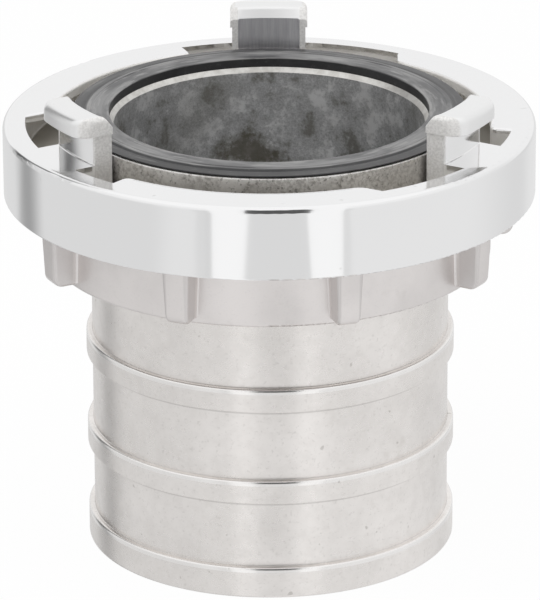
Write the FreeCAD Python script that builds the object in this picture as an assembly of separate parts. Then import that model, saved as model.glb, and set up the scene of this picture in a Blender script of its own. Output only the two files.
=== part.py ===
"""Storz suction coupling: a lug ring that turns on a shank with a hose tail.

Millimetres, +Z along the bore from the tail end to the sealing face. The
origin is the centre of the tail end, on which the coupling stands.
"""
import FreeCAD, Part
import math
import os

Vector = FreeCAD.Vector
ORIGIN = Vector(0, 0, 0)
AXIS = Vector(0, 0, 1)

# Water path, on which every wall outside it is built up
bore_diameter = 144.2
tail_wall = 11.3

# Lugs: two halves mate when these agree
lug_count = 3
first_lug_azimuth = 90.0
lug_height = 22.6           # above the flange's face
stem_thickness = 8.5
stem_width = 35.0           # across a lug's end faces, which are parallel
hook_reach = 9.0            # past the stem
hook_thickness = 8.6
hook_width = 36.8           # the hook keeps the forging's full width
hook_corner_radius = 5.0    # in plan, at both ends of the hook
hook_crown_radius = 3.0     # outer edge of the hook's top
hook_inner_radius = 4.4     # inner edge of the hook's top
hook_side_radius = 1.8      # side edges of the hook's top
hook_under_radius = 0.9     # edge of the hook's underside
stem_foot_radius = 0.8      # where the stem meets the flange's face
seal_stand = 4.5            # from the flange's face to where two seals meet

# Lug ring
rim_wall = 10.5             # flange outside the lip's channel
flange_height = 34.3
skirt_length = 30.3
face_edge_radius = 3.1      # outer rim of the flange's face
lip_edge_radius = 1.3
entry_slot_width = 43.6     # from a lug's end face to the lip's entry end
relief_angle = 21.2         # from a lug's middle to the lip's far end
entry_corner_radius = 9.0
relief_corner_radius = 4.0
ramp_rise = 2.6             # how much thicker the lip gets along its ramp
stop_angle = 4.0            # stop that closes the channel at the ramp's end
head_recess_depth = 39.8    # from the flange's face to the web
web_thickness = 12.0
rear_recess_width = 9.1     # room around the journal for the retaining ring
rear_recess_wall = 7.0      # skirt around that room
skirt_edge_radius = 1.8

# Wrench ribs on the skirt
rib_count = 9
rib_phase = -1.75           # of the first rib, from the first lug's middle
rib_reach = 12.8
rib_width = 13.0            # under the flange
rib_draft = 1.2             # per flank over the rib's height
rib_end_gap = 2.5           # from the skirt's rear edge to the rib's end
rib_corner_radius = 1.8
rib_foot_radius = 2.2
rib_end_radius = 5.0

# Shank
tail_length = 140.2         # from the tail end to the lug ring
bead_height = 2.8
bead_width = 11.2
bead_pitch = 45.1
bead_count = 2              # above the band at the tail end
bead_top_radius = 2.3
end_band_width = 15.1
end_edge_radius = 1.4
shoulder_width = 5.5        # of the head, on which the web bears
rim_drop = 2.0              # from the seal's crest to the head's outer rim
seat_drop = 4.4             # from the seal's crest to its inner seat
bore_chamfer = 2.0
cast_edge_radius = 0.6

# Face seal
seal_inner_wall = 4.4       # seat between the bore's chamfer and the groove
neck_width = 6.5
neck_depth = 5.5
foot_width = 9.9
foot_height = 3.6
crest_width = 10.4          # flat top, inside the sloping lip
lip_slope = 0.9             # drop of the lip from the crest to its rim
lip_lift = 0.5              # free edge of the lip above the head's rim
seal_overhang = -0.5        # lip's rim against the head's outside
seal_squeeze = 0.2          # crest above the plane where two seals meet

# Retaining ring
wire_diameter = 5.0
wire_gap = 14.0             # between the ends of the open ring

# Clearances
hook_clearance = 1.5        # mating hook to the channel's outer wall
hook_run = 3.0              # mating hook to the channel's floor
running_clearance = 0.4     # journal in the web, on radius
passing_clearance = 0.7     # web over the beads, on radius
head_clearance = 0.8        # head in the ring's recess, on radius
lug_clearance = 2.0         # lugs' inner faces outside the head, on radius
axial_play = 0.3            # web between shoulder and retaining ring, each side
groove_clearance = 0.1      # wire in its groove, on radius
seal_clearance = 0.1        # rubber in its groove, each side

# Radii that follow
bore_radius = bore_diameter / 2
tail_radius = bore_radius + tail_wall
bead_radius = tail_radius + bead_height
web_bore_radius = bead_radius + passing_clearance
journal_radius = web_bore_radius - running_clearance
head_radius = journal_radius + shoulder_width
recess_radius = head_radius + head_clearance
rear_recess_radius = web_bore_radius + rear_recess_width
skirt_radius = rear_recess_radius + rear_recess_wall
rib_radius = skirt_radius + rib_reach
lug_radius = head_radius + lug_clearance          # half of the lug distance, 188 mm
stem_radius = lug_radius + stem_thickness
hook_radius = stem_radius + hook_reach
channel_radius = hook_radius + hook_clearance
flange_radius = channel_radius + rim_wall
wire_radius = wire_diameter / 2

# Heights that follow
z_skirt = tail_length
z_flange = z_skirt + skirt_length
z_face = z_flange + flange_height
z_lug_top = z_face + lug_height
z_hook = z_lug_top - hook_thickness
z_floor = z_face - (lug_height - 2 * seal_stand) - hook_run
z_web_top = z_face - head_recess_depth
z_web = z_web_top - web_thickness
z_shoulder = z_web_top + axial_play
z_wire = z_web - axial_play - wire_radius
z_crest = z_face + seal_stand + seal_squeeze
z_rim = z_crest - rim_drop
z_seat = z_crest - seat_drop
lip_mean = lug_height - hook_thickness - 2 * seal_stand
lip_thin = lip_mean - ramp_rise / 2
lip_thick = lip_mean + ramp_rise / 2

# Overlaps that join the forging's features into one solid
root = 1.0
tall = z_lug_top + 2 * root


def in_section(r, z):
    """A point of the half plane through the axis."""
    return Vector(r, 0, z)


def in_front(t, z):
    """A point of the plane that faces along +X, as seen from outside."""
    return Vector(0, t, z)


def at_height(z):
    """Places plan points on the plane z."""
    return lambda u, t: Vector(u, t, z)


def rounded_wire(corners, place):
    """Closed wire through (a, b, radius) corners, each turned by a tangent arc.

    A radius that its neighbouring sides can't hold is cut back to what they can.
    """
    points = [place(a, b) for a, b, _ in corners]
    count = len(points)
    turns = []
    for i, (_, _, radius) in enumerate(corners):
        here = points[i]
        back = points[i - 1] - here
        ahead = points[(i + 1) % count] - here
        room = 0.49 * min(back.Length, ahead.Length)
        back.normalize()
        ahead.normalize()
        half = back.getAngle(ahead) / 2
        reach = min(radius / math.tan(half), room)
        inward = back + ahead
        if reach > 0:
            inward.normalize()
        sagitta = reach * math.tan(half) * (1 / math.sin(half) - 1)
        turns.append((here + back * reach, here + inward * sagitta, here + ahead * reach))
    edges = []
    for i, (start, middle, end) in enumerate(turns):
        if (end - start).Length > 1e-6:
            edges.append(Part.Arc(start, middle, end).toShape())
        following = turns[(i + 1) % count][0]
        edges.append(Part.LineSegment(end, following).toShape())
    return Part.Wire(edges)


def spun(corners, angle=360.0):
    """Solid of revolution of a rounded section, turned on from the +X half plane."""
    face = Part.Face(rounded_wire(corners, in_section))
    return face.revolve(ORIGIN, AXIS, angle)


def turned(shape, azimuth):
    """A copy of a shape, turned about the axis."""
    copy = shape.copy()
    copy.rotate(ORIGIN, AXIS, azimuth)
    return copy


def upright_edges(solid, radius):
    """The straight edges along Z that lie at a radius from the axis."""
    found = []
    for edge in solid.Edges:
        first, last = edge.firstVertex().Point, edge.lastVertex().Point
        level = math.hypot(first.x - last.x, first.y - last.y) < 1e-6
        near = abs(math.hypot(first.x, first.y) - radius) < 1e-3
        if level and near and abs(first.z - last.z) > 1e-3:
            found.append(edge)
    return found


def ring_blank():
    """Flange, skirt, web and open channel, as turned from the forging."""
    return spun([
        (web_bore_radius, z_web, 0.5),
        (web_bore_radius, z_web_top, 0.8),
        (recess_radius, z_web_top, 0),
        (recess_radius, z_floor, 0.5),
        (channel_radius, z_floor, 1.5),
        (channel_radius, z_face, 0),
        (flange_radius, z_face, face_edge_radius),
        (flange_radius, z_flange, 0.8),
        (skirt_radius, z_flange, 1.5),
        (skirt_radius, z_skirt, skirt_edge_radius),
        (rear_recess_radius, z_skirt, 0.8),
        (rear_recess_radius, z_web, 2.0),
    ])


def channel_cutter(start, sweep):
    """Cuts the channel under the lip, from the stop at start to the entry end.

    A radial rectangle is carried up a helix from the lip's thick end to its thin
    end. Its upper side draws the ramp, and its lower side stays under the floor.
    """
    inner = stem_radius - 2 * root
    outer = channel_radius + 2 * root
    depth = z_face - lip_thin - z_floor + 3 * root
    helix = Part.makeHelix(ramp_rise * 360.0 / sweep, ramp_rise, inner)
    side = Part.makePolygon([
        Vector(inner, 0, 0), Vector(outer, 0, 0),
        Vector(outer, 0, -depth), Vector(inner, 0, -depth), Vector(inner, 0, 0)])
    cutter = Part.Wire(helix.Edges).makePipeShell([side], True, True)
    cutter.translate(Vector(0, 0, z_face - lip_thick))
    return turned(cutter, start)


def lip_segment():
    """One third of the lip, between the slots of the lugs at 0 and -120 degrees.

    Its entry end is parallel to the lug at 0 and has a wide lead-in corner. Its
    far end is radial. The lip thickens along a helix from the entry to the stop,
    the full-height end that a mating hook runs against.
    """
    lug_pitch = 360.0 / lug_count
    far = relief_angle - lug_pitch
    entry_offset = stem_width / 2 + entry_slot_width
    entry = -math.degrees(math.asin(entry_offset / channel_radius))
    block = turned(spun([
        (stem_radius, z_floor - root, 0),
        (channel_radius + root, z_floor - root, 0),
        (channel_radius + root, z_face, 0),
        (stem_radius, z_face, 0),
    ], lug_pitch), far)
    slot = Part.makeBox(tall, entry_offset + tall, 2 * tall, Vector(0, -entry_offset, 0))
    block = block.cut(slot)
    corners = upright_edges(block, stem_radius)
    corners.sort(key=lambda edge: math.atan2(edge.CenterOfMass.y, edge.CenterOfMass.x))
    block = block.makeFillet(relief_corner_radius, corners[:1])
    block = block.makeFillet(entry_corner_radius, upright_edges(block, stem_radius)[-1:])
    rim = [edge for edge in block.Edges
           if abs(edge.BoundBox.ZMin - z_face) < 1e-6
           and math.hypot(edge.CenterOfMass.x, edge.CenterOfMass.y) < stem_radius + 1.0]
    block = block.makeFillet(lip_edge_radius, rim)
    ramp_start = far + stop_angle
    return block.cut(channel_cutter(ramp_start, entry + 1.0 - ramp_start))


def lug():
    """A lug at azimuth 0, with the pad that carries it down to the channel's floor.

    The hook is what its section, its plan and its front view have in common.
    """
    half_stem, half_hook = stem_width / 2, hook_width / 2
    open_angle = 40.0
    section = turned(spun([
        (lug_radius, z_hook - root, 0),
        (stem_radius, z_hook - root, 0),
        (stem_radius, z_hook, stem_foot_radius),
        (hook_radius, z_hook, hook_under_radius),
        (hook_radius, z_lug_top, hook_crown_radius),
        (lug_radius, z_lug_top, hook_inner_radius),
    ], open_angle), -open_angle / 2)
    plan = Part.makeCylinder(hook_radius, tall, ORIGIN, AXIS)
    plan = plan.common(Part.makeBox(tall, hook_width, tall, Vector(0, -half_hook, 0)))
    plan = plan.makeFillet(hook_corner_radius, upright_edges(plan, hook_radius))
    front = Part.Face(rounded_wire([
        (-half_stem, z_floor - root, 0),
        (half_stem, z_floor - root, 0),
        (half_stem, z_hook, 0),
        (half_hook, z_hook + half_hook - half_stem, 0),
        (half_hook, z_lug_top, hook_side_radius),
        (-half_hook, z_lug_top, hook_side_radius),
        (-half_hook, z_hook + half_hook - half_stem, 0),
        (-half_stem, z_hook, 0),
    ], in_front)).extrude(Vector(tall, 0, 0))
    hook = section.common(plan).common(front)
    stem = turned(spun([
        (lug_radius, z_floor - root, 0),
        (channel_radius + root, z_floor - root, 0),
        (channel_radius + root, z_face, 0),
        (stem_radius, z_face, stem_foot_radius),
        (stem_radius, z_hook + root, 0),
        (lug_radius, z_hook + root, 0),
    ], open_angle), -open_angle / 2)
    return hook.fuse(stem.common(front))


def rib_plan(width, height):
    """Plan of a rib at a height: rounded outer corners and filleted feet."""
    half = width / 2
    foot = skirt_radius - 0.5
    wide = half + rib_foot_radius + root
    inside = foot - 3 * root
    outside = rib_radius + 3 * root
    return rounded_wire([
        (inside, -wide, 0), (foot, -wide, 0), (foot, -half, rib_foot_radius),
        (outside, -half, 0), (outside, half, 0),
        (foot, half, rib_foot_radius), (foot, wide, 0), (inside, wide, 0),
    ], at_height(height))


def wrench_rib():
    """One rib at azimuth 0: drafted flanks, cut to the rib's rounded section."""
    bottom = z_skirt + rib_end_gap
    top = z_flange + root
    blank = Part.makeLoft([rib_plan(rib_width - 2 * rib_draft, bottom),
                           rib_plan(rib_width, top)], True, True)
    open_angle = 30.0
    section = turned(spun([
        (skirt_radius - 6 * root, bottom, 0),
        (rib_radius - rib_draft, bottom, rib_end_radius),
        (rib_radius, top, 0),
        (skirt_radius - 6 * root, top, 0),
    ], open_angle), -open_angle / 2)
    rib = blank.common(section)
    outer = [edge for edge in rib.Edges if on_rib_corner(edge)]
    return rib.makeFillet(rib_corner_radius, outer)


def on_rib_corner(edge):
    """Whether an edge runs up a rib's outer corner, its rounded end included."""
    middle = edge.valueAt((edge.FirstParameter + edge.LastParameter) / 2)
    rises = edge.BoundBox.ZLength > root
    flank = abs(middle.y) > rib_width / 2 - rib_draft - root
    return rises and flank and middle.x > skirt_radius + rib_foot_radius + root


def lug_ring():
    """The whole forging: blank, lip, lugs and ribs."""
    features = []
    for i in range(lug_count):
        azimuth = first_lug_azimuth + i * 360.0 / lug_count
        features.append(turned(lip_segment(), azimuth))
        features.append(turned(lug(), azimuth))
    for i in range(rib_count):
        azimuth = first_lug_azimuth + rib_phase + i * 360.0 / rib_count
        features.append(turned(wrench_rib(), azimuth))
    return ring_blank().fuse(features).removeSplitter()


def hose_shank():
    """Tail with its beads, journal, head and the seal's undercut groove."""
    corners = [(bore_radius, 0, 1.0), (bead_radius, 0, end_edge_radius),
               (bead_radius, end_band_width, bead_top_radius),
               (tail_radius, end_band_width, 0.5)]
    for i in range(1, bead_count + 1):
        low = end_band_width / 2 + i * bead_pitch - bead_width / 2
        corners += [(tail_radius, low, 0.3), (bead_radius, low, 0.4),
                    (bead_radius, low + bead_width, bead_top_radius),
                    (tail_radius, low + bead_width, 0.5)]
    z_journal = z_wire - wire_diameter
    neck_outer = bore_radius + bore_chamfer + seal_inner_wall + neck_width
    neck_inner = neck_outer - neck_width
    foot_side = (foot_width - neck_width) / 2
    z_neck = z_seat - neck_depth
    z_foot = z_neck - foot_height
    corners += [
        (tail_radius, z_journal - (journal_radius - tail_radius), 1.0),
        (journal_radius, z_journal, 0.3),
        (journal_radius, z_shoulder, 0.3),
        (head_radius, z_shoulder, cast_edge_radius),
        (head_radius, z_rim, cast_edge_radius),
        (neck_outer, z_rim, 0.3),
        (neck_outer, z_neck, 0),
        (neck_outer + foot_side, z_neck, 0.4),
        (neck_outer + foot_side, z_foot, 0.8),
        (neck_inner - foot_side, z_foot, 0.8),
        (neck_inner - foot_side, z_neck, 0.4),
        (neck_inner, z_neck, 0),
        (neck_inner, z_seat, 0.3),
        (bore_radius + bore_chamfer, z_seat, 0),
        (bore_radius, z_seat - bore_chamfer, 0),
    ]
    groove = Part.makeTorus(journal_radius, wire_radius + groove_clearance,
                            Vector(0, 0, z_wire), AXIS)
    return spun(corners).cut(groove)


def face_seal():
    """Lip seal: foot and neck in the head's groove, flat crest, sloping free lip."""
    inner = bore_radius + bore_chamfer
    neck_inner = inner + seal_inner_wall + seal_clearance
    neck_outer = inner + seal_inner_wall + neck_width - seal_clearance
    foot_side = (foot_width - neck_width) / 2
    z_neck = z_seat - neck_depth - seal_clearance
    z_foot = z_seat - neck_depth - foot_height
    rim = head_radius + seal_overhang
    return spun([
        (inner, z_seat, 0),
        (neck_inner, z_seat, 0),
        (neck_inner, z_neck, 0),
        (neck_inner - foot_side, z_neck, 0.4),
        (neck_inner - foot_side, z_foot, 0.8),
        (neck_outer + foot_side, z_foot, 0.8),
        (neck_outer + foot_side, z_neck, 0.4),
        (neck_outer, z_neck, 0),
        (neck_outer, z_rim, 0),
        (neck_outer + 1.0, z_rim, 0),
        (rim, z_rim + lip_lift, 0.3),
        (rim, z_crest - lip_slope, 0.5),
        (inner + crest_width, z_crest, 0),
        (inner, z_crest, 0.4),
    ])


def retaining_ring():
    """Open ring of spring wire, half sunk in the journal's groove."""
    wire = Part.makeTorus(journal_radius, wire_radius, Vector(0, 0, z_wire), AXIS)
    gap = Part.makeBox(wire_gap, tall, tall, Vector(-wire_gap / 2, 0, 0))
    return turned(wire.cut(gap), first_lug_azimuth + 180.0)


os.makedirs("parts", exist_ok=True)
for name, shape in (("lug_ring", lug_ring()), ("hose_shank", hose_shank()),
                    ("face_seal", face_seal()), ("retaining_ring", retaining_ring())):
    solids = shape.Solids
    if len(solids) != 1 or not solids[0].isValid():
        raise ValueError(name + " is not one valid solid")
    solids[0].exportStep("parts/" + name + ".step")
    print(name, round(solids[0].Volume / 1000.0, 1), "cm3", len(solids[0].Faces), "faces")
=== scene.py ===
"""Looks of the storz coupling: surfaces, finishes, stage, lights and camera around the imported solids."""

import math

import bpy
import numpy as np
from mathutils import Matrix, Vector


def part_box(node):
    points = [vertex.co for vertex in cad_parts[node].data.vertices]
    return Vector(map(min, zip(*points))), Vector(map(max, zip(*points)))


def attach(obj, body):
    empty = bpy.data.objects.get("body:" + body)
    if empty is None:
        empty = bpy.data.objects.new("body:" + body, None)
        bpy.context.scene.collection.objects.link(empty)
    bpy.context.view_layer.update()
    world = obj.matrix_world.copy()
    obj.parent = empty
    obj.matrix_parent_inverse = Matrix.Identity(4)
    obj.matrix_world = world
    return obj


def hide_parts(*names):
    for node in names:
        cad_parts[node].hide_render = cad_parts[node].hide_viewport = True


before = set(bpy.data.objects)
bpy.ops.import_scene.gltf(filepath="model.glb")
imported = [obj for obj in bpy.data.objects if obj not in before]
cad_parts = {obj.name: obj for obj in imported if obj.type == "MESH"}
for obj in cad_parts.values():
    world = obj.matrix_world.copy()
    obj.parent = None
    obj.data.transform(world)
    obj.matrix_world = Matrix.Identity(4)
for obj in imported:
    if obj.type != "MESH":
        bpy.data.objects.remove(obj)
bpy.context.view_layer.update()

MM = 0.001

# Sizes and levels of the coupling, in metres. The frame gives the ones that bound a node.
ring_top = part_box("lug_ring")[1]
shank_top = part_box("hose_shank")[1]
seal_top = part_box("face_seal")[1]
rim_radius, lug_top_z = ring_top.x, ring_top.z
head_radius = shank_top.x
seal_rim_radius, crest_z = seal_top.x, seal_top.z

# Flange, and the lip over the channel that takes the other half's hooks.
lug_height = 22.6 * MM
flange_height = 34.3 * MM
face_z = lug_top_z - lug_height
flange_z = face_z - flange_height
channel_floor_z = face_z - 16.6 * MM
channel_radius = 113.0 * MM
lip_edge = 1.3 * MM
lip_start, lip_end = math.radians(-96.2), math.radians(-39.2)

# The three lugs with their hooks, and the nine ribs of the skirt.
first_lug, lug_pitch = math.radians(90.0), math.radians(120.0)
lug_radius = 94.0 * MM
stem_radius = 102.5 * MM
stem_half = 17.5 * MM
hook_half = 18.4 * MM
hook_z = lug_top_z - 8.6 * MM
hook_radius = 111.5 * MM
lip_radius = stem_radius + lip_edge
rib_pitch, rib_phase = math.radians(40.0), math.radians(-1.75)
rib_half = 6.5 * MM
skirt_radius = 103.0 * MM

# Tail with its end band and two beads, journal with the wire's groove, and bore.
bore_radius = 72.1 * MM
tail_radius = 83.4 * MM
bead_radius = 86.2 * MM
journal_radius = 86.5 * MM
end_band_width = 15.1 * MM
bead_width = 11.2 * MM
bead_pitch = 45.1 * MM
bead_starts = [end_band_width / 2 + number * bead_pitch - bead_width / 2 for number in (1, 2)]
wire_z = face_z - 54.6 * MM
wire_room = 2.6 * MM

# Head with the seal's undercut groove, and the seal.
shoulder_z = face_z - 39.5 * MM
head_rim_z = crest_z - 2.0 * MM
seat_z = crest_z - 4.4 * MM
chamfer_reach = 2.0 * MM
seat_width = 4.4 * MM
neck_width = 6.5 * MM
neck_depth = 5.5 * MM
foot_height = 3.6 * MM
foot_side = 1.7 * MM
seal_bore = bore_radius + chamfer_reach
crest_end = seal_bore + 10.4 * MM


class Value:
    """A number in a node tree. Python's operators on it add the Math nodes they stand for."""

    def __init__(self, tree, socket):
        self.tree, self.socket = tree, socket

    def __add__(self, other):
        return self.tree.maths("ADD", self, other)

    def __sub__(self, other):
        return self.tree.maths("SUBTRACT", self, other)

    def __rsub__(self, other):
        return self.tree.maths("SUBTRACT", other, self)

    def __mul__(self, other):
        return self.tree.maths("MULTIPLY", self, other)

    def __truediv__(self, other):
        return self.tree.maths("DIVIDE", self, other)

    def __rtruediv__(self, other):
        return self.tree.maths("DIVIDE", other, self)

    def __pow__(self, other):
        return self.tree.maths("POWER", self, other)

    def __abs__(self):
        return self.tree.maths("ABSOLUTE", self)

    __radd__, __rmul__ = __add__, __mul__

    def larger(self, other):
        return self.tree.maths("MAXIMUM", self, other)

    def rise(self, start, end):
        """0 before start, 1 after end, and a smooth step between; start may be the larger one."""
        return self.tree.add("ShaderNodeMapRange", {"interpolation_type": "SMOOTHSTEP", "clamp": True},
                             {"Value": self, "From Min": start, "From Max": end})

    def within(self, low, high, soft):
        """1 between low and high, falling to 0 over soft on either side."""
        return self.rise(low - soft, low) * self.rise(high + soft, high)


class Tree:
    """The node tree of a finish, of the stage or of the world."""

    def __init__(self, owner):
        owner.use_nodes = True
        self.nodes, self.links = owner.node_tree.nodes, owner.node_tree.links
        self.nodes.clear()

    def add(self, kind, settings=None, inputs=None, output=0):
        """A node of a type, with its settings made first and its sockets valued or linked after."""
        node = self.nodes.new(kind)
        for name, value in (settings or {}).items():
            setattr(node, name, value)
        for name, value in (inputs or {}).items():
            self.feed(node.inputs[name], value)
        return Value(self, node.outputs[output])

    def feed(self, socket, value):
        if isinstance(value, Value):
            self.links.new(value.socket, socket)
        elif hasattr(value, "__len__") and len(value) == 3 and socket.type == "RGBA":
            socket.default_value = (*value, 1.0)
        else:
            socket.default_value = value

    def maths(self, operation, *values):
        return self.add("ShaderNodeMath", {"operation": operation}, dict(enumerate(values)))

    def parts(self, vector):
        """The three coordinates of a vector."""
        return [self.add("ShaderNodeSeparateXYZ", None, {0: vector}, output=axis) for axis in "XYZ"]

    def vector(self, x=0.0, y=0.0, z=0.0):
        return self.add("ShaderNodeCombineXYZ", None, {0: x, 1: y, 2: z})

    def place(self):
        """The point on the piece, and its distances from the coupling's axis and tail end."""
        point = self.add("ShaderNodeTexCoord", output="Object")
        x, y, z = self.parts(point)
        return point, (x * x + y * y) ** 0.5, z

    def beside(self, first, pitch):
        """Sideways distance from the middle of the nearest of the features that stand at a pitch.

        With u the azimuth, it is r sin(((u - first + pitch / 2) mod pitch) - pitch / 2).
        """
        point, radius, _ = self.place()
        x, y, _ = self.parts(point)
        azimuth = self.maths("ARCTAN2", y, x)
        nearest = self.maths("WRAP", azimuth - first, pitch / 2, -pitch / 2)
        return radius * self.maths("SINE", nearest)

    def round_the_axis(self, along, across):
        """A point for noise that runs along the turn: (a cos u, a sin u, across) at the azimuth u."""
        point, radius, _ = self.place()
        x, y, _ = self.parts(point)
        return self.vector(x / radius * along, y / radius * along, across)

    def noise(self, point, per_metre, detail=3.0, roughness=0.55, distortion=0.0):
        """Cloudy noise from 0 to 1; per_metre is one number, or one for each axis."""
        if hasattr(per_metre, "__len__"):
            point = self.add("ShaderNodeMapping", None, {"Vector": point, "Scale": per_metre})
            per_metre = 1.0
        return self.add("ShaderNodeTexNoise", None, {
            "Vector": point, "Scale": per_metre, "Detail": detail, "Roughness": roughness,
            "Distortion": distortion})

    def mix(self, share, first, second):
        """The first colour where share is 0, the second where it is 1."""
        return self.add("ShaderNodeMix", {"data_type": "RGBA"},
                        {0: share, 6: first, 7: second}, output=2)

    def bead_highlights_and_shade(self, z):
        """The rounded tops of the tail's bands, polished and painted lighter as a highlight, and painted
        shade at them: dirt plus a painted dark reflection in the corner over each band, a painted shadow
        on the wall under each bead.
        """
        polished_tops_and_highlight = z.within(end_band_width - 2.3 * MM, end_band_width - 0.5 * MM, 0.3 * MM)
        # corners over the bands: dirt plus a painted dark reflection
        corners = z.within(end_band_width - 0.1 * MM, end_band_width + 0.25 * MM, 0.25 * MM)
        for low in bead_starts:
            top = low + bead_width
            polished_tops_and_highlight = polished_tops_and_highlight + z.within(top - 2.3 * MM, top - 0.5 * MM, 0.3 * MM)
            corners = corners + z.within(top - 0.1 * MM, top + 0.25 * MM, 0.25 * MM)
            # painted shadow on the tail wall just under each bead
            corners = corners + z.within(low - 1.55 * MM, low - 0.9 * MM, 0.35 * MM)
        return polished_tops_and_highlight, corners

    def bump(self, height, strength, distance):
        return self.add("ShaderNodeBump", None,
                        {"Height": height, "Strength": strength, "Distance": distance})

    def surface(self, shader, kind="ShaderNodeOutputMaterial"):
        self.feed(self.nodes.new(kind).inputs["Surface"], shader)


def finish_of(name, build):
    """A material whose principled shader takes the values that build(tree) returns."""
    material = bpy.data.materials.new(name)
    tree = Tree(material)
    tree.surface(tree.add("ShaderNodeBsdfPrincipled", None, build(tree)))
    return material


def lay(share, over, under):
    """A number: over where share is 1, under where it is 0."""
    return share * (over - under) + under


def rounded_outline(corners, step=2.0 * MM, arc_step=math.radians(9.0)):
    """Closed outline through corners (r, z, radius), each turned by a tangent arc, as (n, 2) points.

    With w the half angle between a corner's sides, its arc starts q / tan w before it and its points are
    centre + q (cos t, sin t). A straight run is cut into steps, with one more point close to either end.
    """
    points = np.array([(r, z) for r, z, _ in corners])
    radii = np.array([q for _, _, q in corners])
    ahead = np.roll(points, -1, 0) - points
    length = np.linalg.norm(ahead, axis=1, keepdims=True)
    ahead = ahead / length
    back = -np.roll(ahead, 1, 0)
    half = np.arccos(np.clip((ahead * back).sum(1), -1, 1)) / 2
    room = 0.49 * np.minimum(length[:, 0], np.roll(length[:, 0], 1))
    reach = np.minimum(radii / np.tan(half), room)
    starts, ends = points + back * reach[:, None], points + ahead * reach[:, None]
    outline = []
    for i in range(len(points)):
        if reach[i] > 0:
            middle = (ahead[i] + back[i]) / np.linalg.norm(ahead[i] + back[i])
            centre = points[i] + middle * reach[i] / math.cos(half[i])
            spoke, last = starts[i] - centre, ends[i] - centre
            swing = math.atan2(spoke[0] * last[1] - spoke[1] * last[0], spoke @ last)
            t = np.linspace(0, swing, max(3, math.ceil(abs(swing) / arc_step) + 1))
            outline.append(centre + np.stack([spoke[0] * np.cos(t) - spoke[1] * np.sin(t),
                                              spoke[0] * np.sin(t) + spoke[1] * np.cos(t)], 1))
        else:
            outline.append(points[i:i + 1])
        run = starts[(i + 1) % len(points)] - ends[i]
        size = float(np.linalg.norm(run))
        if size > 1.2 * MM:
            near = 0.25 * MM / size
            count = max(2, math.ceil(size / step))
            share = np.concatenate([[near], np.linspace(0, 1, count + 1)[1:-1], [1 - near]])
            outline.append(ends[i] + run * share[:, None])
    return np.concatenate(outline)


def grid_facets(rows, columns, closed):
    """The corners of the cells of a grid of points, whose columns are closed; its rows may be too."""
    i, j = np.meshgrid(np.arange(rows if closed else rows - 1), np.arange(columns), indexing="ij")
    i_next, j_next = (i + 1) % rows, (j + 1) % columns
    corners = [i * columns + j, i_next * columns + j, i_next * columns + j_next, i * columns + j_next]
    return np.stack(corners, -1).reshape(-1, 4)


def halved(quads):
    """Two triangles for each four-sided facet."""
    return np.concatenate([quads[:, [0, 1, 2]], quads[:, [0, 2, 3]]])


def crisp_mesh(name, points, facets, angle):
    """A piece with smooth facets, whose edges over an angle stay crisp."""
    mesh = bpy.data.meshes.new(name)
    mesh.from_pydata(points.tolist(), [], facets.tolist())
    mesh.polygons.foreach_set("use_smooth", np.ones(len(mesh.polygons), bool))
    mesh.set_sharp_from_angle(angle=angle)
    mesh.update()
    piece = bpy.data.objects.new(name, mesh)
    bpy.context.scene.collection.objects.link(piece)
    return piece


def turned_piece(name, outline, wobble, turns=400, angle=math.radians(32.0)):
    """Surface of revolution of a closed outline: (u, v) goes to (r cos u, r sin u, z).

    r(v) and z(v) run along the outline, and wobble(u, r, z) is how far a wall at (r, z) is out of true.
    """
    u = np.linspace(0, 2 * math.pi, turns, endpoint=False)[:, None]
    r, z = outline[None, :, 0], outline[None, :, 1]
    r = r + wobble(u, r, z)
    z = z + 0 * u
    points = np.stack([r * np.cos(u), r * np.sin(u), z], -1).reshape(-1, 3)
    return crisp_mesh(name, points, grid_facets(turns, len(outline), True), angle)


def at_each_lug(points, facets):
    """Three copies of a shape at the azimuth 0, each turned by its lug's azimuth u.

    A point goes to (x cos u - y sin u, x sin u + y cos u, z).
    """
    x, y, z = points.T
    turned, numbered = [], []
    for number in range(3):
        u = first_lug + number * lug_pitch
        turned.append(np.stack([x * math.cos(u) - y * math.sin(u),
                                x * math.sin(u) + y * math.cos(u), z], -1))
        numbered.append(facets + number * len(points))
    return np.concatenate(turned), np.concatenate(numbered)


def lip_edges(turns=160):
    """Covers for the rounded inner edges of the three lips, as points and facets.

    With c = lip radius and q the edge radius, the profile goes up the wall at r = c - q - 0.07 mm, round
    (c - (q + 0.07 mm) cos w, face - q + (q + 0.02 mm) sin w) and out along the face. It is turned from
    just past the lip's far corner to just before its entry corner.
    """
    off_wall, off_face = 0.07 * MM, 0.02 * MM
    w = np.linspace(0, math.pi / 2, 9)
    r = np.concatenate([[stem_radius - off_wall], lip_radius - (lip_edge + off_wall) * np.cos(w),
                        [lip_radius + 0.8 * MM]])
    z = np.concatenate([[face_z - lip_edge - 0.9 * MM],
                        face_z - lip_edge + (lip_edge + off_face) * np.sin(w), [face_z + off_face]])
    u = np.linspace(lip_start, lip_end, turns)[:, None]
    points = np.stack([r * np.cos(u), r * np.sin(u), z + 0 * u], -1).reshape(-1, 3)
    i, j = np.meshgrid(np.arange(turns - 1), np.arange(len(r) - 1), indexing="ij")
    low = (i * len(r) + j).reshape(-1)
    ahead = low + len(r)
    return at_each_lug(points, halved(np.stack([low, low + 1, ahead + 1, ahead], -1)))


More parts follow.
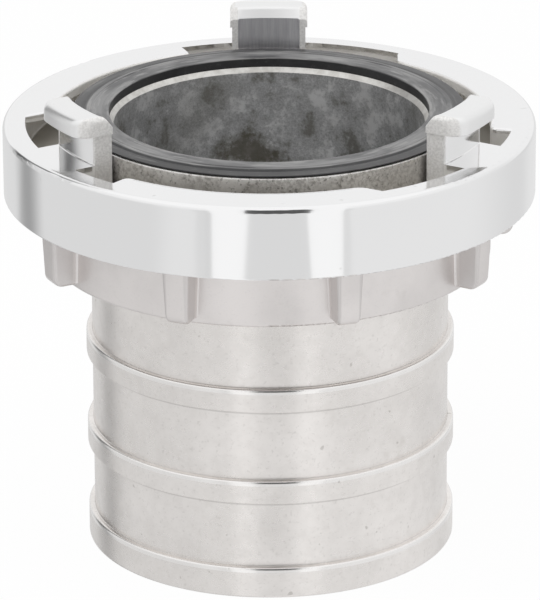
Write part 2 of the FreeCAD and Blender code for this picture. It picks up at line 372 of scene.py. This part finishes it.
def rounded_hooks():
    """The hooks of the three lugs, with the forging's soft crown and corners, as points and facets.

    A hook is its section at the sideways place t, drawn in by a(t) from the axis's side and by b(t) from
    below: r = lug radius + (r0 - lug radius) a, z = hook z + (z0 - hook z) b, where a and b are 1 less
    q - sqrt(q^2 - (|t| - half + q)^2) over the section's width or height. The point is then
    (sqrt(r^2 - t^2), t, z), turned to its lug.
    """
    section = rounded_outline([
        (lug_radius, hook_z, 0.0), (hook_radius, hook_z, 1.0 * MM),
        (hook_radius, lug_top_z, 6.0 * MM), (lug_radius + 4.2 * MM, lug_top_z, 3.0 * MM),
        (lug_radius, lug_top_z - 4.8 * MM, 0.5 * MM)], 1.2 * MM, math.radians(6.0))
    corner, shoulder = 6.5 * MM, 2.2 * MM
    swing = np.linspace(0, math.pi / 2, 15)
    flat = hook_half - corner
    right = flat + corner * np.sin(swing)
    t = np.concatenate([-right[::-1], np.linspace(-flat, flat, 13)[1:-1], right])[:, None]

    def drawn_in(q):
        over = np.maximum(np.abs(t) - hook_half + q, 0.0)
        return q - np.sqrt(np.maximum(q * q - over * over, 0.0))

    width, height = hook_radius - lug_radius, lug_top_z - hook_z
    a, b = 1 - drawn_in(corner) / width, 1 - drawn_in(shoulder) / height
    r = lug_radius + (section[None, :, 0] - lug_radius) * a
    z = hook_z + (section[None, :, 1] - hook_z) * b
    across = t + 0 * r
    points = np.stack([np.sqrt(r * r - across * across), across, z], -1).reshape(-1, 3)
    rows, count = r.shape
    last = (rows - 1) * count
    middles = np.stack([points[:count].mean(0), points[last:].mean(0)])
    ring = np.arange(count)
    after = (ring + 1) % count
    caps = np.concatenate([
        np.stack([ring, after, np.full(count, rows * count)], -1),
        np.stack([last + after, last + ring, np.full(count, rows * count + 1)], -1)])
    return at_each_lug(np.concatenate([points, middles]),
                       np.concatenate([halved(grid_facets(rows, count, False)), caps]))


def merged_copy(node, name, added=(), top=math.inf, angle=math.radians(26.0)):
    """The node's facets with their doubled corners merged, shaded by the larger face at every corner.

    Corners are the same point where their places agree to a micrometre. Facets that lie all above the
    top level are left out, and added pairs of points and facets join the rest in the same mesh.
    """
    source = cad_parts[node].data
    places = np.empty(len(source.vertices) * 3)
    source.vertices.foreach_get("co", places)
    facets = np.empty(len(source.polygons) * 3, int)
    source.polygons.foreach_get("vertices", facets)
    _, first, renumbered = np.unique(np.round(places.reshape(-1, 3) * 1e6), axis=0,
                                     return_index=True, return_inverse=True)
    facets = renumbered.reshape(-1)[facets].reshape(-1, 3)
    whole = ((facets[:, 0] != facets[:, 1]) & (facets[:, 1] != facets[:, 2])
             & (facets[:, 2] != facets[:, 0]))
    points, facets = places.reshape(-1, 3)[first], facets[whole]
    facets = facets[points[facets][:, :, 2].min(1) < top]
    for more_points, more_facets in added:
        facets = np.concatenate([facets, more_facets + len(points)])
        points = np.concatenate([points, more_points])
    piece = crisp_mesh(name, points, facets, angle)
    weighted = piece.modifiers.new("flat_faces_stay_flat", "WEIGHTED_NORMAL")
    weighted.mode, weighted.weight, weighted.keep_sharp = "FACE_AREA", 50, True
    return piece


def dress(piece, node, body, material):
    """Gives a piece its finish and puts it in its node's place."""
    piece.data.materials.clear()
    piece.data.materials.append(material)
    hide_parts(node)
    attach(piece, body)


def shank_outline():
    """Tail with its end band and two beads, journal with the wire's groove, head, seal's groove, bore."""
    corners = [(bore_radius, 0, 1.0), (bead_radius, 0, 1.4), (bead_radius, end_band_width, 2.3),
               (tail_radius, end_band_width, 0.5)]
    for low in bead_starts:
        corners += [(tail_radius, low, 0.3), (bead_radius, low, 0.4),
                    (bead_radius, low + bead_width, 2.3), (tail_radius, low + bead_width, 0.5)]
    neck_inner = seal_bore + seat_width
    neck_outer = neck_inner + neck_width
    neck_z = seat_z - neck_depth
    corners += [
        (tail_radius, wire_z - 8.1 * MM, 1.0), (journal_radius, wire_z - 5.0 * MM, 0.3),
        (journal_radius, wire_z - wire_room, 0.0), (journal_radius - wire_room, wire_z - wire_room, 2.6),
        (journal_radius - wire_room, wire_z + wire_room, 2.6), (journal_radius, wire_z + wire_room, 0.0),
        (journal_radius, shoulder_z, 0.3), (head_radius, shoulder_z, 0.6), (head_radius, head_rim_z, 0.6),
        (neck_outer, head_rim_z, 0.3), (neck_outer, neck_z, 0.0), (neck_outer + foot_side, neck_z, 0.4),
        (neck_outer + foot_side, neck_z - foot_height, 0.8),
        (neck_inner - foot_side, neck_z - foot_height, 0.8), (neck_inner - foot_side, neck_z, 0.4),
        (neck_inner, neck_z, 0.0), (neck_inner, seat_z, 0.3), (seal_bore, seat_z, 0.25),
        (bore_radius, seat_z - chamfer_reach, 0.25)]
    return rounded_outline([(r, z, radius * MM) for r, z, radius in corners],
                           arc_step=math.radians(15.0))


def hand_finished(u, r, z):
    """Out of true by up to 0.06 mm on the tail and 0.15 mm on the cast bore and head wall.

    The tail's waves are long and low, the castings' are short: sums of cosines of the turn and the height.
    """
    up = z / MM
    waves = (np.cos(3 * u + 0.05 * up) + 0.7 * np.cos(7 * u - 0.11 * up + 1.0)
             + 0.5 * np.cos(17 * u + 0.21 * up + 2.0) + 0.4 * np.cos(29 * u - 0.37 * up))
    lumps = (np.cos(23 * u + 0.31 * up) * np.cos(0.43 * up + 5 * u) + 0.6 * np.cos(51 * u - 0.8 * up)
             + 0.5 * np.cos(37 * u + 1.3 * up + 1.0))

    def share(depth, soft):
        return np.clip(depth / soft, 0, 1)

    outside = share(r - tail_radius + 3.4 * MM, 2.0 * MM) * share(shoulder_z - 8.0 * MM - z, 4.0 * MM)
    bore = (share(bore_radius + 0.5 * MM - r, 0.4 * MM) * share(seat_z - 4.0 * MM - z, 2.0 * MM)
            * share(z - 2.0 * MM, 2.0 * MM))
    wall = (share(r - head_radius + 0.4 * MM, 0.3 * MM) * share(z - shoulder_z - 2.0 * MM, 2.0 * MM)
            * share(head_rim_z - 1.5 * MM - z, 1.0 * MM))
    return outside * waves * 0.020 * MM - (bore + wall) * (1.6 + lumps) * 0.035 * MM


def seal_outline():
    """Lip seal: foot and neck, flat crest, a low step and the lip that slopes to the head's rim."""
    play = 0.1 * MM
    neck_inner, neck_outer = seal_bore + seat_width + play, seal_bore + seat_width + neck_width - play
    neck_z, foot_z = seat_z - neck_depth - play, seat_z - neck_depth - foot_height
    corners = [
        (seal_bore, seat_z, 0.0), (neck_inner, seat_z, 0.0), (neck_inner, neck_z, 0.0),
        (neck_inner - foot_side, neck_z, 0.4), (neck_inner - foot_side, foot_z, 0.8),
        (neck_outer + foot_side, foot_z, 0.8), (neck_outer + foot_side, neck_z, 0.4),
        (neck_outer, neck_z, 0.0), (neck_outer, head_rim_z, 0.0), (neck_outer + 1.0 * MM, head_rim_z, 0.0),
        (seal_rim_radius, head_rim_z + 0.5 * MM, 0.25), (seal_rim_radius, crest_z - 0.9 * MM, 0.4),
        (crest_end + 2.4 * MM, crest_z - 0.55 * MM, 1.0), (crest_end + 1.2 * MM, crest_z - 0.7 * MM, 0.4),
        (crest_end, crest_z, 0.5), (crest_end - 1.4 * MM, crest_z, 0.3),
        (crest_end - 2.0 * MM, crest_z - 0.25 * MM, 0.3), (crest_end - 2.6 * MM, crest_z, 0.3),
        (seal_bore, crest_z, 0.5)]
    return rounded_outline([(r, z, radius * MM) for r, z, radius in corners])


def ring_finish(tree):
    """Turned and polished flange and lugs with rough end faces, satin forged skirt, dull channel."""
    point, radius, z = tree.place()
    side = abs(tree.beside(first_lug, lug_pitch))
    rib_side = abs(tree.beside(first_lug + rib_phase, rib_pitch))
    clouds = tree.noise(point, 26.0, 4.0)
    blotches = tree.noise(point, 75.0, 5.0, 0.6)
    speckle = tree.noise(point, 950.0, 2.0)
    facing = tree.noise(tree.vector(radius), 2600.0, 2.0, 0.7)
    scratches = tree.noise(point, (30.0, 30.0, 1500.0), 2.0, 0.6)
    streaks = tree.noise(tree.vector(side * 900.0, z * 40.0), 1.0, 3.0, 0.7)
    nicks = tree.noise(point, 130.0, 1.0).rise(0.24, 0.20)

    above = z.rise(face_z + 0.5 * MM, face_z + 1.2 * MM)
    pads = (radius.rise(stem_radius + 0.5 * MM, stem_radius + 0.2 * MM)
            * side.rise(stem_half + 0.7 * MM, stem_half + 0.4 * MM)
            * z.rise(channel_floor_z + 0.2 * MM, channel_floor_z + 0.6 * MM))
    lugs = above.larger(pads)
    hook_ends = side.rise(hook_half - 3.0 * MM, hook_half - 1.6 * MM)
    stem_ends = (side.rise(stem_half - 0.5 * MM, stem_half - 0.15 * MM)
                 * z.rise(hook_z + 0.5 * MM, hook_z - 0.2 * MM))
    side_strips = (radius.rise(lug_radius + 4.8 * MM, lug_radius + 4.2 * MM)
                   * side.rise(stem_half - 3.0 * MM, stem_half - 2.6 * MM))
    ends = lugs * hook_ends.larger(stem_ends).larger(side_strips)
    inner = lugs * radius.rise(lug_radius + 0.5 * MM, lug_radius + 0.15 * MM) * (1.0 - ends)
    hooks = lugs * z.rise(hook_z - 0.6 * MM, hook_z - 0.1 * MM) * (1.0 - ends) * (1.0 - inner)
    flange = z.rise(flange_z - 0.2 * MM, flange_z + 0.2 * MM) * (1.0 - lugs)
    gap = (flange * radius.rise(channel_radius + 3.0 * MM, channel_radius + 0.6 * MM)
           * z.rise(face_z - 1.4 * MM, face_z - 3.4 * MM))
    lip_wall = (flange * radius.rise(lip_radius + 0.6 * MM, lip_radius - 0.1 * MM)
                * z.rise(face_z - 0.05 * MM, face_z - 0.4 * MM))
    gap = gap.larger(lip_wall)
    shaded_channel_floor = gap * z.rise(channel_floor_z + 0.6 * MM, channel_floor_z + 0.2 * MM)
    polished = flange * (1.0 - gap)
    skirt = z.rise(flange_z + 0.2 * MM, flange_z - 0.2 * MM)
    # painted shade: where the ribs' flanks and the fillets beside them are painted darker
    shaded_rib_flanks = (skirt * radius.rise(skirt_radius + 1.5 * MM, skirt_radius + 3.0 * MM)
              * rib_side.within(rib_half - 1.8 * MM, rib_half + 2.0 * MM, 0.8 * MM))

    satin = tree.mix(clouds.rise(0.3, 0.72), (0.75, 0.72, 0.708), (0.85, 0.816, 0.803))
    satin = tree.mix(blotches.rise(0.60, 0.74) * 0.30, satin, (0.64, 0.61, 0.59))
    satin = tree.mix(speckle.rise(0.55, 0.75) * 0.18, satin, (0.64, 0.615, 0.605))
    # painted shade: the skirt is painted darker on the ribs' flanks
    satin = tree.mix(shaded_rib_flanks * 0.5, satin, (0.60, 0.578, 0.572))
    rough_end = tree.mix(speckle.rise(0.28, 0.72), (0.72, 0.71, 0.695), (0.88, 0.87, 0.855))
    # blotchy darkening of the lugs' end faces, growing below the flange face
    low_blotches = z.rise(face_z + 4.0 * MM, face_z - 10.0 * MM) * blotches.rise(0.35, 0.6)
    rough_end = tree.mix(low_blotches * 0.6, rough_end, (0.58, 0.55, 0.51))
    streaked = tree.mix(streaks.rise(0.3, 0.7), (0.80, 0.795, 0.83), (0.95, 0.95, 0.97))
    colour = tree.mix(lugs, satin, (0.905, 0.905, 0.905))
    colour = tree.mix(inner, colour, streaked)
    colour = tree.mix(ends, colour, rough_end)
    colour = tree.mix(polished, colour, (0.915, 0.915, 0.918))
    dull = tree.mix(blotches.rise(0.35, 0.65), (0.84, 0.825, 0.80), (0.92, 0.91, 0.89))
    colour = tree.mix(gap, colour, dull)
    # painted shade: the channel's floor under the lip is painted dark
    colour = tree.mix(shaded_channel_floor, colour, (0.42, 0.40, 0.36))
    colour = tree.mix(polished * nicks * 0.25, colour, (0.55, 0.54, 0.52))

    rough = 0.34 + (clouds - 0.5) * 0.12 + (blotches - 0.5) * 0.10
    rough = lay(lugs, 0.17 + (clouds - 0.5) * 0.10 + (scratches - 0.5) * 0.06, rough)
    rough = lay(inner, 0.36 + (streaks - 0.5) * 0.16, rough)
    rough = lay(hooks, 0.30 + (clouds - 0.5) * 0.10, rough)
    rough = lay(ends, 0.50 + (speckle - 0.5) * 0.12, rough)
    rough = lay(polished, 0.085 + (clouds - 0.5) * 0.03 + (scratches - 0.5) * 0.03, rough)
    rough = lay(gap, 0.50, rough)

    grain = skirt * (speckle * 0.30 + blotches * 0.9) + ends * (speckle * 0.45 + blotches * 0.5)
    grain = grain + gap * blotches + inner * streaks * 0.15
    grain = grain + (lugs - ends - inner).larger(0.0) * blotches * 0.25
    lathe = polished * z.rise(face_z - 1.5 * MM, face_z - 0.3 * MM) * facing
    normal = tree.bump(grain + lathe * 0.03, 0.45, 0.07 * MM)
    metal = 1.0 - ends * 0.65 - gap * 0.5
    return {"Base Color": colour, "Metallic": metal, "Roughness": rough, "Normal": normal}


def shank_finish(tree):
    """Satin turned tail with casting pits, rough cast bore and head wall, bright turned chamfer."""
    point, radius, z = tree.place()
    clouds = tree.noise(point, 20.0, 5.0, 0.6)
    blotches = tree.noise(point, 62.0, 6.0, 0.65)
    mottle = tree.noise(point, 190.0, 5.0, 0.62)
    grit = tree.noise(point, 620.0, 3.0, 0.6)
    streaks = tree.noise(point, (9.0, 9.0, 700.0), 3.0, 0.6)
    lines = tree.noise(point, (4.0, 4.0, 3200.0), 2.0, 0.7)
    pits = tree.noise(point, 230.0, 1.0).rise(0.24, 0.18)
    specks = tree.noise(point, 480.0, 3.0, 0.7)
    stain = tree.noise(point, 11.0, 2.0, 0.5)
    drops = tree.noise(tree.round_the_axis(4.6, z * 62.0), 1.0, 9.0, 0.72)
    wisps = tree.noise(tree.round_the_axis(17.0, z * 290.0), 1.0, 6.0, 0.74)
    veins = abs(wisps - 0.5).rise(0.022, 0.006) * stain.rise(0.50, 0.62)
    # painted shade: a dark patch low on the bore's far wall, where the view reaches deepest, broken up by
    # the casting's mottle
    deep_bore_shade = tree.add("ShaderNodeMapping", None, {
        "Vector": point, "Location": (12.0 * MM, -71.0 * MM, -164.0 * MM)})
    deep_bore_shade = tree.add("ShaderNodeMapping", None, {"Vector": deep_bore_shade, "Scale": (62.0, 40.0, 120.0)})
    deep_bore_shade = tree.add("ShaderNodeVectorMath", {"operation": "LENGTH"}, {0: deep_bore_shade}, output="Value")
    deep_bore_shade = (deep_bore_shade + (drops - 0.5) * 2.6 + (mottle - 0.5) * 0.8).rise(1.25, 0.55)
    grain = tree.noise(point, 1100.0, 5.0, 0.7)

    bore = radius.rise(bore_radius + 1.0 * MM, bore_radius + 0.3 * MM)
    head = (z.rise(shoulder_z - 2.0 * MM, shoulder_z)
            * radius.rise(journal_radius + 1.5 * MM, journal_radius + 3.5 * MM))
    chamfer = (z.rise(seat_z - 2.3 * MM, seat_z - 1.9 * MM)
               * radius.rise(seal_bore + seat_width + 1.5 * MM, seal_bore + seat_width + 0.5 * MM))
    bore = bore * (1.0 - chamfer)
    tail = (1.0 - bore) * (1.0 - head) * (1.0 - chamfer)
    polished_tops_and_highlight, corners = tree.bead_highlights_and_shade(z)
    polished_tops_and_highlight = polished_tops_and_highlight * tail * radius.rise(tail_radius + 0.2 * MM, tail_radius + 0.5 * MM)
    corners = (corners * tail * radius.rise(tail_radius - 0.6 * MM, tail_radius - 0.2 * MM)
               * radius.rise(tail_radius + 0.35 * MM, tail_radius + 0.2 * MM))

    turned = tree.mix(clouds.rise(0.28, 0.72), (0.825, 0.796, 0.772), (0.935, 0.904, 0.88))
    turned = tree.mix(mottle.rise(0.40, 0.70) * 0.22, turned, (0.72, 0.69, 0.665))
    turned = tree.mix(blotches.rise(0.58, 0.74) * 0.35, turned, (0.68, 0.645, 0.61))
    turned = tree.mix(grit.rise(0.56, 0.72) * 0.35, turned, (0.62, 0.595, 0.57))
    # painted highlight: the polished tops of the bands are painted near white
    turned = tree.mix(polished_tops_and_highlight * 0.7, turned, (0.95, 0.94, 0.93))
    turned = tree.mix(pits * 0.45, turned, (0.40, 0.38, 0.35))
    # painted shade: dark lines over the bands, partly dirt, and a painted shadow under the beads
    turned = tree.mix(corners * 0.4, turned, (0.42, 0.405, 0.39))
    cast = tree.mix(grain.rise(0.25, 0.75), (0.44, 0.442, 0.445), (0.74, 0.742, 0.745))
    cast = tree.mix(wisps.rise(0.52, 0.70) * 0.45, cast, (0.36, 0.36, 0.355))
    cast = tree.mix(wisps.rise(0.46, 0.32) * 0.35, cast, (0.84, 0.84, 0.84))
    cast = tree.mix(drops.rise(0.50, 0.62) * 0.85, cast, (0.95, 0.95, 0.95))
    cast = tree.mix(drops.rise(0.48, 0.36) * 0.85, cast, (0.27, 0.26, 0.235))
    cast = tree.mix(stain.rise(0.50, 0.64) * 0.35, cast, (0.36, 0.35, 0.32))
    cast = tree.mix(veins * 0.45, cast, (0.20, 0.195, 0.18))
    # painted shade deep in the bore
    cast = tree.mix(deep_bore_shade * 0.85, cast, (0.17, 0.155, 0.12))
    wall = tree.mix(grit.rise(0.30, 0.66), (0.60, 0.58, 0.555), (0.97, 0.955, 0.93))
    wall = tree.mix(stain.rise(0.42, 0.62) * 0.55, wall, (0.56, 0.54, 0.51))
    wall = tree.mix(blotches.rise(0.48, 0.60) * 0.65, wall, (0.98, 0.965, 0.94))
    wall = tree.mix(specks.rise(0.44, 0.33) * 0.6, wall, (0.22, 0.205, 0.185))
    colour = tree.mix(bore, turned, cast)
    colour = tree.mix(head, colour, wall)
    bright = tree.mix(mottle.rise(0.35, 0.65), (0.60, 0.585, 0.555), (0.76, 0.75, 0.72))
    colour = tree.mix(chamfer, colour, bright)

    rough = 0.29 + (clouds - 0.5) * 0.14 + (mottle - 0.5) * 0.12 + (streaks - 0.5) * 0.06
    rough = lay(polished_tops_and_highlight, 0.17, rough)
    rough = lay(bore, 0.50 + (mottle - 0.5) * 0.25, rough)
    rough = lay(head, 0.52 + (mottle - 0.5) * 0.2, rough)
    rough = lay(chamfer, 0.36, rough)

    rugged = head * (grit * 0.35 + mottle * 0.8) + bore * (grain * 0.3 + drops * 1.6 + mottle * 0.5)
    fine = (tail + chamfer) * (lines * 0.05 + streaks * 0.06 + mottle * 0.22 + grit * 0.05 - pits * 0.45)
    normal = tree.bump(rugged + fine, 0.5, 0.22 * MM)
    return {"Base Color": colour, "Metallic": 1.0, "Roughness": rough, "Normal": normal}


def rubber_finish(tree):
    """Black moulded rubber with dust, and lighter streaks on the low step and lip; its flat crest is
    painted a lighter streaked grey as a painted sheen, so the sloping lip looks darker.
    """
    point, radius, z = tree.place()
    clouds = tree.noise(point, 30.0, 4.0, 0.6)
    turn_streaks = tree.noise(tree.round_the_axis(3.5, radius * 380.0), 1.0, 4.0, 0.65)
    wide_turn_streaks = tree.noise(tree.round_the_axis(2.2, radius * 120.0), 1.0, 3.0, 0.6)
    dust = tree.noise(point, 420.0, 4.0, 0.65)
    rings = tree.noise(tree.vector(radius), 900.0, 2.0)
    crest = (radius.rise(crest_end + 0.4 * MM, crest_end - 0.2 * MM)
             * z.rise(crest_z - 0.6 * MM, crest_z - 0.2 * MM))
    dull = tree.mix(clouds.rise(0.35, 0.7), (0.020, 0.020, 0.021), (0.040, 0.040, 0.041))
    lip = (radius.rise(crest_end - 2.5 * MM, crest_end - 0.5 * MM)
           * z.rise(crest_z - 1.8 * MM, crest_z - 1.2 * MM))
    dull = tree.mix(turn_streaks.rise(0.52, 0.70) * lip * 0.6, dull, (0.15, 0.148, 0.145))
    # painted sheen: the crest is painted a lighter grey in streaks round the turn
    painted_sheen_crest = tree.mix(wide_turn_streaks.rise(0.38, 0.62), (0.055, 0.055, 0.057), (0.19, 0.189, 0.189))
    painted_sheen_crest = tree.mix(turn_streaks.rise(0.50, 0.66) * 0.65, painted_sheen_crest, (0.30, 0.296, 0.29))
    painted_sheen_crest = tree.mix(rings.rise(0.56, 0.70) * 0.35, painted_sheen_crest, (0.030, 0.030, 0.031))
    # painted sheen on the crest
    colour = tree.mix(crest, dull, painted_sheen_crest)
    colour = tree.mix(dust.rise(0.55, 0.75) * 0.35, colour, (0.12, 0.118, 0.115))
    rough = 0.36 + (wide_turn_streaks - 0.5) * 0.25 + (rings - 0.5) * 0.12
    normal = tree.bump(dust * 0.35 + rings * 0.5, 0.3, 0.05 * MM)
    return {"Base Color": colour, "Roughness": rough, "Normal": normal}


def wire_finish(tree):
    """Drawn spring wire, with faint lines along it."""
    point, radius, z = tree.place()
    clouds = tree.noise(point, 120.0, 3.0)
    lines = tree.noise(tree.vector(radius, z), 3000.0, 2.0)
    colour = tree.mix(clouds, (0.46, 0.46, 0.47), (0.62, 0.62, 0.62))
    normal = tree.bump(lines, 0.3, 0.03 * MM)
    return {"Base Color": colour, "Metallic": 1.0, "Roughness": 0.30 + clouds * 0.1, "Normal": normal}


dress(merged_copy("lug_ring", "forged_lug_ring", (lip_edges(), rounded_hooks()), hook_z - 0.02 * MM),
      "lug_ring", "lug_ring", finish_of("turned_and_forged_aluminium", ring_finish))
dress(turned_piece("turned_hose_shank", shank_outline(), hand_finished, 208), "hose_shank", "shank",
      finish_of("cast_and_turned_aluminium", shank_finish))
dress(turned_piece("moulded_face_seal", seal_outline(), lambda u, r, z: 0 * u), "face_seal", "shank",
      finish_of("black_seal_rubber", rubber_finish))
dress(merged_copy("retaining_ring", "drawn_retaining_ring"), "retaining_ring", "shank",
      finish_of("drawn_spring_wire", wire_finish))


def stage_floor():
    """White table top: lit like the background for the camera, and darker where the object stands."""
    half, white_share = 6.0, 0.96
    mesh = bpy.data.meshes.new("table_top")
    mesh.from_pydata([(-half, -half, 0), (half, -half, 0), (half, half, 0), (-half, half, 0)],
                     [], [(0, 1, 2, 3)])
    floor = bpy.data.objects.new("table_top", mesh)
    bpy.context.scene.collection.objects.link(floor)
    material = bpy.data.materials.new("white_table_top")
    tree = Tree(material)
    seen, mirrored, seen_through = (
        tree.add("ShaderNodeLightPath", output=name)
        for name in ("Is Camera Ray", "Is Glossy Ray", "Is Transmission Ray"))
    seen = seen.larger(mirrored).larger(seen_through)
    glow = tree.add("ShaderNodeEmission", None, {"Color": (1.0, 1.0, 1.0), "Strength": 1.0})
    matt = tree.add("ShaderNodeBsdfDiffuse", None, {"Color": (0.85, 0.85, 0.85)})
    tree.surface(tree.add("ShaderNodeMixShader", None, {0: seen * white_share, 1: matt, 2: glow}))
    mesh.materials.append(material)
    floor.visible_glossy = False


def studio():
    """White for the camera. For the metal, a tent with two tall screens and an opening between them.

    A direction's turn is its angle from the front, in degrees to the right. The screens lean outwards with
    height: they are bounded on turn / (1 + 0.6 z^2.5).
    """
    world = bpy.data.worlds.new("studio")
    bpy.context.scene.world = world
    tree = Tree(world)
    x, y, z = tree.parts(tree.add("ShaderNodeTexCoord", output="Generated"))
    turn = tree.maths("DEGREES", tree.maths("ARCTAN2", x, 0.0 - y))
    flared = turn / (1.0 + z.larger(0.0) ** 2.5 * 0.6)
    tone = lay(turn.rise(30.0, 36.0), 0.84, 0.745)
    tone = lay(turn.rise(90.0, 136.0), 0.735, tone)
    tone = lay(turn.rise(138.0, 154.0), 0.80, tone)
    left = turn.rise(-30.0, -33.0)
    tone = lay(left, 0.82, tone)
    tone = lay(left * turn.rise(-40.0, -54.0), 0.745, tone)
    seams = turn.within(32.5, 34.0, 1.5) + turn.within(-27.0, -25.5, 1.0)
    tone = tone * (1.0 - seams * 0.05)
    behind = y.rise(0.2, 0.8)
    tone = lay(behind * z.rise(-0.05, 0.12), 0.925, tone)
    tone = lay(z.rise(0.05, 0.65) * (1.0 - behind), 0.93, tone)
    tone = lay(z.rise(0.72, 0.88), 1.12, tone)
    left_screen = flared.rise(-25.0, -24.4) * flared.rise(-8.6, -11.6)
    right_screen = flared.within(17.2, 31.2, 0.6)
    opening = flared.within(-9.6, 16.2, 0.6) * z.within(0.04, 0.86, 0.05)
    tone = lay((left_screen + right_screen) * (1.0 - z.rise(0.93, 0.97)), 1.05, tone)
    tone = lay(opening, 0.10, tone)
    dark_stand = turn.within(-129.5, -127.5, 15.0)
    tone = tone * (1.0 - dark_stand * lay(z.rise(-0.10, 0.05), 0.88, 0.50) * z.rise(0.85, 0.6))
    seen = tree.add("ShaderNodeLightPath", output="Is Camera Ray")
    colour = tree.mix(lay(seen, 1.0, tone), (0.0, 0.0, 0.0), (1.0, 1.0, 1.0))
    tree.surface(tree.add("ShaderNodeBackground", None, {"Color": colour, "Strength": 1.0}),
                 "ShaderNodeOutputWorld")


def softbox(name, place, towards, size, power):
    """A soft lamp of a size and a power in watts, which the metal doesn't mirror."""
    light = bpy.data.lights.new(name, "AREA")
    light.shape, light.size, light.size_y, light.energy = "RECTANGLE", size[0], size[1], power
    lamp = bpy.data.objects.new(name, light)
    bpy.context.scene.collection.objects.link(lamp)
    lamp.location = place
    lamp.rotation_euler = (Vector(towards) - Vector(place)).to_track_quat("-Z", "Y").to_euler()
    lamp.visible_glossy = False


def camera():
    """The photograph's camera, solved from the rim's and the tail's circles."""
    distance, height, rim_z = 20.0 * rim_radius, 6.8815 * rim_radius, 0.2035
    pitch, roll = math.radians(20.809), math.radians(0.261)
    focal_pixels, picture_pixels = 5637.8, 600.0
    data = bpy.data.cameras.new("camera")
    data.sensor_width = 36.0
    data.lens = focal_pixels * data.sensor_width / picture_pixels
    item = bpy.data.objects.new("camera", data)
    bpy.context.scene.collection.objects.link(item)
    turn = Matrix.Rotation(math.pi / 2 - pitch, 4, "X") @ Matrix.Rotation(-roll, 4, "Z")
    item.matrix_world = Matrix.Translation((0.0, -distance, rim_z + height)) @ turn
    bpy.context.scene.camera = item


stage_floor()
studio()
softbox("top_softbox", (-0.5, -0.6, 1.6), (0.0, 0.0, 0.15), (1.4, 1.0), 9.0)
camera()
bpy.context.scene.view_settings.view_transform = "Standard"
